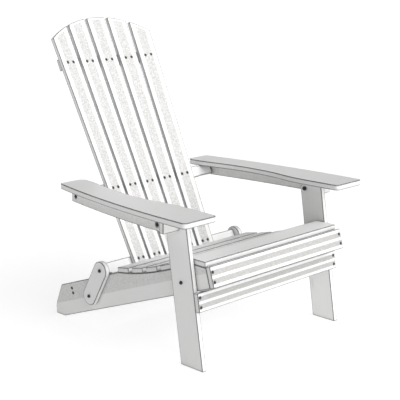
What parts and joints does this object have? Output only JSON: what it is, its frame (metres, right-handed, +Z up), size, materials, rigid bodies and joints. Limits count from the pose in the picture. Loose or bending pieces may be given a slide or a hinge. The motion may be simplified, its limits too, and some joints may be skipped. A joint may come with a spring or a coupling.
{
  "type": "adirondack chair",
  "caption": "Low painted timber garden chair with a fanned slatted back, sloping hollow seat and wide curved arms, folding flat on bolted pivots and short rear links",
  "frame": {"origin": "on the ground, at the centre of the open chair's bounding box seen from above", "axes": "+X to the sitter's left, -Y to the front, +Z up"},
  "size_m": [0.74, 0.8108, 0.8902],
  "materials": {
    "paint": "white paint, satin, over straight-grained softwood",
    "slat_paint": "white paint, satin, brushed thinner down the middle of each slat",
    "trim_paint": "white paint, satin, on planed boards",
    "beech": "bare turned hardwood",
    "screw_steel": "black phosphate coating, dull",
    "bolt_steel": "black coating, slightly glossy"
  },
  "bodies": {
    "seat_frame": {"apron_screws": "screw_steel", "crossbar_screws": "screw_steel", "front_apron": "trim_paint", "leg_bolts": "bolt_steel", "leg_nuts": "bolt_steel", "link_lower_bolts": "bolt_steel", "link_nuts": "bolt_steel", "rear_crossbar": "paint", "seat_dowels": "beech", "seat_rail_left": "paint", "seat_rail_right": "paint", "seat_slat_1": "paint", "seat_slat_2": "paint", "seat_slat_3": "paint", "seat_slat_4": "paint", "seat_slat_5": "paint", "seat_slat_front": "paint"},
    "legs": {"front_leg_left": "paint", "front_leg_right": "paint", "leg_stretcher": "trim_paint", "stretcher_screws": "screw_steel"},
    "arms": {"arm_bolts": "bolt_steel", "arm_cleat_left": "paint", "arm_cleat_right": "paint", "arm_dowels": "beech", "arm_left": "paint", "arm_nuts": "bolt_steel", "arm_rail_left": "paint", "arm_rail_right": "paint", "arm_right": "paint", "arm_sleeves": "bolt_steel", "back_bolts": "bolt_steel"},
    "back": {"back_rail_lower": "paint", "back_rail_middle": "paint", "back_rail_upper": "paint", "back_screws_lower": "screw_steel", "back_screws_middle": "screw_steel", "back_screws_upper": "screw_steel", "back_slat_centre": "slat_paint", "back_slat_left_inner": "slat_paint", "back_slat_left_outer": "slat_paint", "back_slat_right_inner": "slat_paint", "back_slat_right_outer": "slat_paint"},
    "links": {"link_upper_bolts": "bolt_steel", "rear_link_left": "paint", "rear_link_right": "paint"}
  },
  "joints": [
    {"name": "leg_fold", "type": "hinge", "parent": "seat_frame", "child": "legs", "pos_m": [0, -0.29774, 0.234], "axis": [1, 0, 0], "range_deg": [0, 85]},
    {"name": "arm_fold", "type": "hinge", "parent": "legs", "child": "arms", "pos_m": [0, -0.25274, 0.395], "axis": [1, 0, 0], "range_deg": [-78.08, 0]},
    {"name": "back_fold", "type": "hinge", "parent": "arms", "child": "back", "pos_m": [0, 0.15106, 0.39609], "axis": [1, 0, 0], "range_deg": [0, 71.87]},
    {"name": "link_fold", "type": "hinge", "parent": "seat_frame", "child": "links", "pos_m": [0, 0.09796, 0.1009], "axis": [1, 0, 0], "range_deg": [-47, 0]}
  ],
  "couplings": [
    {"joint": "arm_fold", "follows": "leg_fold", "ratio": -0.91855},
    {"joint": "back_fold", "follows": "leg_fold", "ratio": 0.84541},
    {"joint": "link_fold", "follows": "leg_fold", "ratio": -0.55294}
  ]
}
